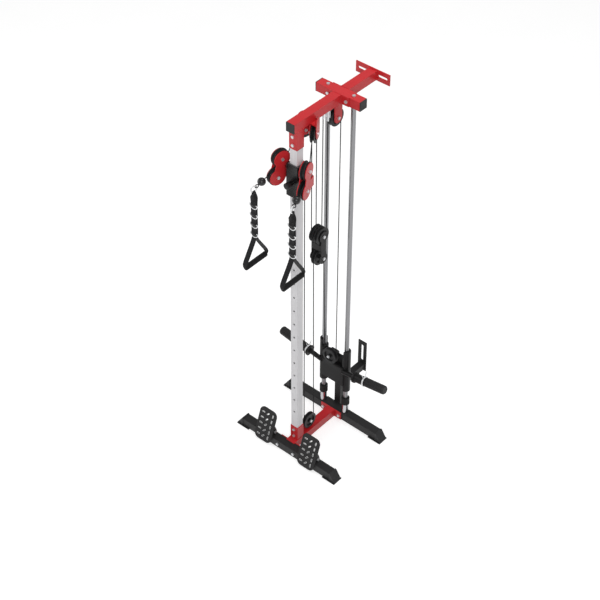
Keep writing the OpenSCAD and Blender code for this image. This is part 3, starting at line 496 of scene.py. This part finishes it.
# END_SHARE of each fall to the block rides with the block, and the weight cable's
# rise to it parts at BLOCK_SHARE. The steps are those along each kind of run.
HALF_TURN = math.pi
QUARTER_TURN = math.pi / 2
END_SHARE = 0.19
BLOCK_SHARE = 0.5
WHEEL_STEPS = 20
UPPER_STEPS = 12
LOWER_STEPS = 4
PULL_STEPS = 24
FALL_STEPS = 40
BLOCK_STEPS = 30
END_STEPS = 8


def cable_coat():
    """Black nylon over a laid cable: gloss, with the strands' slant just showing."""
    mat = moulded("cable_nylon", (0.007, 0.007, 0.0075), 0.45, 500, 0.03, shine=0.12)
    nodes = mat.node_tree.nodes
    lay = add_node(mat, "TexWave", {"Scale": 160},
                   {"Vector": nodes["Texture Coordinate"].outputs["Object"]},
                   bands_direction="DIAGONAL")
    strand = add_node(mat, "Bump", {"Strength": 0.12, "Distance": 0.0003},
                      {"Height": lay.outputs["Fac"], "Normal": nodes["Bump"].outputs["Normal"]})
    return feed_shader(mat, {"Normal": strand.outputs["Normal"]})


coat = cable_coat()


def cable(name, points, node):
    """A run of cable that stands for part of a CAD node."""
    piece = tube_along(name, points, CABLE_RADIUS, coat)
    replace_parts(piece, node)
    return piece


def straight(here, there, count):
    """Points evenly from here to there."""
    return [here.lerp(there, i / count) for i in range(count + 1)]


def groove_angles(start, end, count):
    """Angles evenly from start to end."""
    return [start + (end - start) * i / count for i in range(count + 1)]


def on_wheel(centre, turn, start, end, side=1):
    """Points round a pulley's groove; 0 is to the wall and pi / 2 is up, before the turn."""
    points = []
    for angle in groove_angles(start, end, WHEEL_STEPS):
        out, up = GROOVE * math.cos(angle), GROOVE * math.sin(angle)
        points.append(row(side * (centre[0] - out * math.sin(turn)),
                          centre[1] + out * math.cos(turn), centre[2] + up))
    return points


def arm_at(out, up, side):
    """A place in an arm's plane: out from its swivel axis and up from its upper pulley."""
    return row(side * (SWIVEL[0] + out * math.sin(ARM_TURN)),
               SWIVEL[1] - out * math.cos(ARM_TURN), SWIVEL[2] + up)


def arm_arc(centre, start, end, side, count):
    """Points round the groove of one of an arm's own pulleys."""
    return [arm_at(centre[0] + GROOVE * math.cos(angle), centre[1] + GROOVE * math.sin(angle),
                   side) for angle in groove_angles(start, end, count)]


# Handle cables. In an arm, a cable crosses from behind the upper pulley to the
# front of the lower one, and leaves that along EXIT, down to the stop ball.
link_out = ARM_LOWER_WHEEL[0] - ARM_UPPER_WHEEL[0]
link_up = ARM_LOWER_WHEEL[1] - ARM_UPPER_WHEEL[1]
cross = (math.atan2(link_up, link_out) - math.acos(2 * GROOVE / math.hypot(link_out, link_up))
         + 2 * math.pi)
exit_out = ARM_LOWER_WHEEL[0] + GROOVE * math.sin(EXIT)
exit_up = ARM_LOWER_WHEEL[1] + GROOVE * math.cos(EXIT)
to_ball = (BALL_OUT - exit_out) / math.cos(EXIT)
ball_up = exit_up - to_ball * math.sin(EXIT)
for side, name in SIDES:
    node = f"handle_cable_{name}"
    leave = arm_at(exit_out, exit_up, side)
    meet = arm_at(BALL_OUT - BALL_ENTRY * math.cos(EXIT),
                  ball_up + BALL_ENTRY * math.sin(EXIT), side)
    pulled = cable(f"{node}_to_ball", straight(leave, meet, PULL_STEPS), node)
    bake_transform(pulled)
    in_arm = (arm_arc(ARM_UPPER_WHEEL, HALF_TURN, cross, side, UPPER_STEPS)
              + arm_arc(ARM_LOWER_WHEEL, cross - HALF_TURN, QUARTER_TURN - EXIT, side,
                        LOWER_STEPS))
    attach(cable(f"{node}_in_arm", in_arm, node), f"arm_{name}")
    over = on_wheel(FRONT_WHEEL, FRONT_TURN, HALF_TURN, 0, side)
    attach(cable(f"{node}_over_front", over, node), "frame")
    foot = arm_at(0, 0, side)
    riser = cable(f"{node}_riser", straight(foot, over[0], FALL_STEPS), node)
    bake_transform(riser)
    under = on_wheel(BLOCK_WHEEL, 0, HALF_TURN, 2 * HALF_TURN, side)
    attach(cable(f"{node}_under_block", under, node), "floating_block")
    x, y, z = HANDLE_STUD
    stud = row(side * x, y, z)
    for label, top, bottom in (("front", over[-1], under[0]), ("rear", stud, under[-1])):
        parting = bottom.lerp(top, END_SHARE)
        upper = cable(f"{node}_{label}_fall", straight(parting, top, FALL_STEPS), node)
        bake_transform(upper)
        lower = cable(f"{node}_{label}_end", straight(bottom, parting, END_STEPS), node)
        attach(lower, "floating_block")

# Weight cable: from the trolley's lug down round the low pulley, over the block's
# lower pulley, under the carriage's and over the rear top one.
node = "weight_cable"
trolley_end = row(*TROLLEY_LUG)
round_low = on_wheel(LOW_WHEEL, 0, HALF_TURN, 2 * HALF_TURN)
falls = cable("weight_cable_trolley_run",
              straight(round_low[0], trolley_end, FALL_STEPS), node)
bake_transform(falls)
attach(cable("weight_cable_round_low", round_low, node), "frame")
over_block = on_wheel(BLOCK_LOWER_WHEEL, 0, HALF_TURN, 0)
parting = round_low[-1].lerp(over_block[0], BLOCK_SHARE)
rise_low = cable("weight_cable_block_run",
                 straight(round_low[-1], parting, BLOCK_STEPS), node)
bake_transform(rise_low)
rise_high = cable("weight_cable_block_end",
                  straight(parting, over_block[0], BLOCK_STEPS), node)
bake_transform(rise_high)
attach(cable("weight_cable_over_block", over_block, node), "floating_block")
under_carriage = on_wheel(CARRIAGE_WHEEL, QUARTER_TURN, 0, -HALF_TURN)
down = cable("weight_cable_carriage_run",
             straight(under_carriage[0], over_block[-1], BLOCK_STEPS), node)
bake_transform(down)
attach(cable("weight_cable_under_carriage", under_carriage, node), "carriage")
over_rear = on_wheel(REAR_WHEEL, 0, 0, QUARTER_TURN) + [row(*LIFT_LUG)]
last = cable("weight_cable_lift_run",
             straight(under_carriage[-1], over_rear[0], FALL_STEPS), node)
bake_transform(last)
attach(cable("weight_cable_over_rear", over_rear, node), "frame")


# ---- Strap handles ---------------------------------------------------------
# Each handle is one length of 42 mm polyester webbing, looped over its
# carabiner and sewn double. An outer strip is sewn over the D-ring bars, and
# below the last ring two legs spread to the ends of the grip.
STRAP_X = 121.74
STRAP_Y = -169.93
LOOP_Z = 1789.25
LOOP_RADIUS = 5.2
LOOP_HALF = 10.5
TOP_BAR_Z = 1714.5
BAR_PITCH = 58
RING_BARS = [TOP_BAR_Z - BAR_PITCH * n for n in range(4)]
STRAP_FOOT = 1513.5
GRIP_Z = 1362
GRIP_HALF = 75
MAIN_WEB = 1.9
STRIP_WEB = 1.6
LEG_WEB = 4.4
BACK_LEG_LEAN = 24
WEB_STRANDS = (-3, -2, -1, 0, 1, 2, 3)


def webbing():
    """Black polyester webbing: a herringbone of fine ribs with a fuzzy sheen."""
    mat = new_finish("webbing", {"Roughness": 0.82, "Specular IOR Level": 0.2,
                                 "Sheen Weight": 0.12, "Sheen Roughness": 0.5})
    where = add_node(mat, "TexCoord").outputs["Object"]
    warp = add_node(mat, "TexWave", {"Scale": 190, "Distortion": 0.6}, {"Vector": where},
                    bands_direction="X")
    weft = add_node(mat, "TexWave", {"Scale": 150, "Distortion": 0.9}, {"Vector": where},
                    bands_direction="Z")
    weave = add_node(mat, "Math", feeds={0: warp.outputs["Fac"], 1: weft.outputs["Fac"]},
                     operation="MULTIPLY")
    tone = add_node(mat, "ValToRGB", feeds={"Fac": weave.outputs["Value"]})
    tone.color_ramp.elements[0].color = (0.008, 0.008, 0.009, 1)
    tone.color_ramp.elements[1].color = (0.026, 0.026, 0.028, 1)
    bump = add_node(mat, "Bump", {"Strength": 0.5, "Distance": 0.0006},
                    {"Height": weave.outputs["Value"]})
    return feed_shader(mat, {"Base Color": tone.outputs["Color"],
                             "Normal": bump.outputs["Normal"]})


web = webbing()


def band(name, route, thickness, side, body):
    """Webbing along a route of (x, y, z, half width, turn of the width from X)."""
    shape = bmesh.new()
    edges, across = [], None
    for x, y, z, half, turn in route:
        turn = math.radians(turn)
        step = Vector((side * math.cos(turn), math.sin(turn), 0)) * half / WEB_STRANDS[-1]
        middle = Vector((side * (STRAP_X + x), STRAP_Y + y, z))
        points = [middle + step * strand for strand in WEB_STRANDS]
        if edges:
            drawn = bmesh.ops.extrude_edge_only(shape, edges=edges)["geom"]
            fresh = [v for v in drawn if isinstance(v, bmesh.types.BMVert)]
            edges = [e for e in drawn if isinstance(e, bmesh.types.BMEdge)
                     and all(v in fresh for v in e.verts)]
            for vert, point in zip(sorted(fresh, key=lambda v: v.co.dot(across)), points):
                vert.co = row(*point)
        else:
            first = [shape.verts.new(row(*point)) for point in points]
            edges = [shape.edges.new(pair) for pair in zip(first, first[1:])]
        across = step
    bmesh.ops.recalc_face_normals(shape, faces=shape.faces)
    piece = piece_from(name, shape, web)
    wall = piece.modifiers.new("wall", "SOLIDIFY")
    wall.thickness = thickness / 1000
    wall.offset = 0
    soft = piece.modifiers.new("soft", "SUBSURF")
    soft.levels = soft.render_levels = 2
    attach(piece, body)
    return piece


def main_route(twist):
    """Up the back, a quarter twist, round the carabiner's bar and down the front."""
    # Height, half width, turn in degrees, and gap from the strap's middle.
    levels = ((STRAP_FOOT - 10, 21, 0, 1.5), (1600, 21, 0, 1.6), (1722, 21, 0, 1.6),
              (1744, 21, 6, 1.7), (1757, 20, 28, 2.0), (1768, 16.5, 60, 2.4),
              (1777, 12.5, 84, 3.2), (1782, 11, 90, 4.2))
    up = [(-gap * math.sin(math.radians(twist * turn)), gap * math.cos(math.radians(turn)),
           z, half, twist * turn) for z, half, turn, gap in levels]
    down = [(-x, -y, z, half, turn) for x, y, z, half, turn in reversed(up)]
    over = [(-twist * LOOP_RADIUS * math.cos(angle), 0, LOOP_Z + LOOP_RADIUS * math.sin(angle),
             LOOP_HALF, twist * 90) for angle in groove_angles(0, math.pi, 4)]
    return up + over + down


def ring_route():
    """The outer strip: flat between the rings, and proud over each bar."""
    # From each bar up or down, how far in front of the strap, and half width.
    over_bar = ((13, -4.1, 18), (5, -7.4, 17), (0, -9.4, 17), (-5, -7.4, 17), (-13, -4.1, 18))
    route = [(0, -4.0, RING_BARS[0] + 20, 19, 0)]
    for bar in RING_BARS:
        route += [(0, y, bar + up, half, 0) for up, y, half in over_bar]
    return route + [(0, -4.0, RING_BARS[-1] - 20, 19, 0)]


def leg_route(way, lean):
    """From the strap's foot down to the grip's end and into its bore."""
    return [(0, way * 2.5, STRAP_FOOT + 14, 15, 0),
            (0, way * 5, STRAP_FOOT - 6, 15, 0.2 * lean),
            (0, way * 40, 1448, 15, lean),
            (0, way * 69, 1401, 15, lean),
            (0, way * 78.8, GRIP_Z + 20, 14, 0.6 * lean),
            (0, way * 79.6, GRIP_Z + 6, 10, 0),
            (0, way * 76.5, GRIP_Z - 0.5, 7.5, 0),
            (0, way * 64, GRIP_Z - 0.5, 7, 0)]


for side, name in SIDES:
    body = f"strap_{name}"
    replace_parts(band(f"strap_{name}_webbing", main_route(side), MAIN_WEB, side, body),
                f"strap_{name}")
    band(f"strap_{name}_ring_strip", ring_route(), STRIP_WEB, side, body)
    band(f"strap_{name}_leg_front", leg_route(-1, 0), LEG_WEB, side, body)
    band(f"strap_{name}_leg_back", leg_route(1, side * BACK_LEG_LEAN), LEG_WEB, side, body)


# ---- Stitching -------------------------------------------------------------
# Bar tacks of thick thread hold the strip down between the rings and close the
# loop at the carabiner. Each stitch is a short flattened bead.
STITCH = (0.0030, 0.0007, 0.0009)
STITCH_RADIUS = 0.6
STITCH_SPACES = 4.6
TACKS_BELOW_LOOP = (1741, 1737.5)
TACKS_ABOVE_BAR = (15.5, 18.5)
STRIP_FRONT = -5.0
WEB_FRONT = -3.1

thread = moulded("thread", (0.05, 0.05, 0.052), 0.7, 900, 0.2)


def tacks(name, side, rows_z, y, half, body):
    """Rows of stitches across the webbing at the given heights."""
    shape = bmesh.new()
    for z in rows_z:
        for k in range(-4, 5):
            size = Matrix.Diagonal((*STITCH, 1))
            place = Matrix.Translation(
                row(side * STRAP_X + k * half / STITCH_SPACES, STRAP_Y + y, z))
            bmesh.ops.create_icosphere(shape, subdivisions=1, radius=STITCH_RADIUS,
                                       matrix=place @ size)
    piece = piece_from(name, shape, thread)
    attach(piece, body)


tack_rows = [bar + step for bar in RING_BARS for step in TACKS_ABOVE_BAR]
for side, name in SIDES:
    tacks(f"strap_{name}_tacks", side, tack_rows, STRIP_FRONT, 18, f"strap_{name}")
    tacks(f"strap_{name}_loop_tacks", side, TACKS_BELOW_LOOP, WEB_FRONT, 17, f"strap_{name}")


# ---- Grips -----------------------------------------------------------------
# A plastic tube in a foam sleeve, 29 mm by 150 mm, with the foam's ends rolled
# over. The webbing runs through the bore.
GRIP_RADIUS = 14.5
GRIP_SIDES = 40
ROLLED_END = ((10.0, 2), (10.4, 0.6), (12.4, 0), (13.9, 1.4), (GRIP_RADIUS, 4.5))
GRIP_LINE = ([(r, -GRIP_HALF + inset) for r, inset in ROLLED_END]
             + [(GRIP_RADIUS, y) for y in (-30, 0, 30)]
             + [(r, GRIP_HALF - inset) for r, inset in reversed(ROLLED_END)])

# Closed-cell foam: fine pores and a dull skin.
grip_foam = moulded("grip_foam", (0.012, 0.012, 0.0125), 0.80, 1200, 0.35, shine=0.15)
grip_foam.node_tree.nodes["Principled BSDF"].inputs["Sheen Weight"].default_value = 0.08

for side, name in SIDES:
    shape = bmesh.new()
    section = [shape.verts.new(row(side * STRAP_X + r, STRAP_Y + y, GRIP_Z))
               for r, y in GRIP_LINE]
    spin_round(shape, section, row(side * STRAP_X, STRAP_Y, GRIP_Z), (0, 1, 0), GRIP_SIDES)
    bmesh.ops.remove_doubles(shape, verts=shape.verts, dist=0.00001)
    bmesh.ops.recalc_face_normals(shape, faces=shape.faces)
    piece = piece_from(f"grip_{name}_foam", shape, grip_foam)
    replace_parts(piece, f"grip_{name}")
    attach(piece, f"strap_{name}")


# ---- Floor and light -------------------------------------------------------
# A plain pale floor, which the camera and polished metal see as white, and soft
# studio light: a key from the front right, a fill from the left and a top lamp.
FLOOR_LIFT = 0.62
FLOOR_HALF = 30
FLOOR_Z = -0.0005
SKY_STRENGTH = 0.42
WHITE = (1, 1, 1, 1)


def floor_white():
    """Takes the shadow, and is plain white to the camera where it is lit."""
    mat = new_finish("floor_white", {"Roughness": 0.9, "Specular IOR Level": 0.1,
                                     "Emission Color": WHITE})
    where = add_node(mat, "TexCoord").outputs["Object"]
    cloud = add_node(mat, "TexNoise", {"Scale": 3}, {"Vector": where})
    tint = add_node(mat, "Mix", {"A": (0.60, 0.60, 0.60, 1), "B": (0.63, 0.63, 0.63, 1)},
                    {"Factor": cloud.outputs["Fac"]}, data_type="RGBA")
    ray = add_node(mat, "LightPath")
    seen = add_node(mat, "Math", feeds={0: ray.outputs["Is Camera Ray"],
                                        1: ray.outputs["Is Glossy Ray"]}, operation="MAXIMUM")
    lift = add_node(mat, "Math", {1: FLOOR_LIFT}, {0: seen.outputs["Value"]},
                    operation="MULTIPLY")
    return feed_shader(mat, {"Base Color": tint.outputs["Result"],
                             "Emission Strength": lift.outputs["Value"]})


ground = bmesh.new()
bmesh.ops.create_grid(ground, x_segments=8, y_segments=8, size=FLOOR_HALF)
ground_mesh = bpy.data.meshes.new("floor")
ground.to_mesh(ground_mesh)
ground.free()
floor = bpy.data.objects.new("floor", ground_mesh)
floor.location.z = FLOOR_Z
ground_mesh.materials.append(floor_white())
bpy.context.collection.objects.link(floor)

sky = bpy.data.worlds.new("studio")
sky.use_nodes = True
background = sky.node_tree.nodes["Background"]
background.inputs["Color"].default_value = WHITE
background.inputs["Strength"].default_value = SKY_STRENGTH
bpy.context.scene.world = sky


def softbox(name, place, aim, size, power):
    """A round soft lamp at a place, turned to its aim."""
    lamp = bpy.data.objects.new(name, bpy.data.lights.new(name, "AREA"))
    lamp.data.shape = "DISK"
    lamp.data.size = size
    lamp.data.energy = power
    lamp.location = place
    lamp.rotation_euler = (Vector(aim) - Vector(place)).to_track_quat("-Z", "Y").to_euler()
    bpy.context.collection.objects.link(lamp)


softbox("key", (3.2, -3.4, 4.6), (0, 0, 1.1), 2.6, 120)
softbox("fill", (-4.0, -2.6, 3.2), (0, 0, 1.0), 3.2, 55)
softbox("top", (0.4, 1.5, 5.5), (0, 0, 0.8), 3.0, 75)

bpy.context.scene.view_settings.view_transform = "Standard"

bpy.context.view_layer.update()
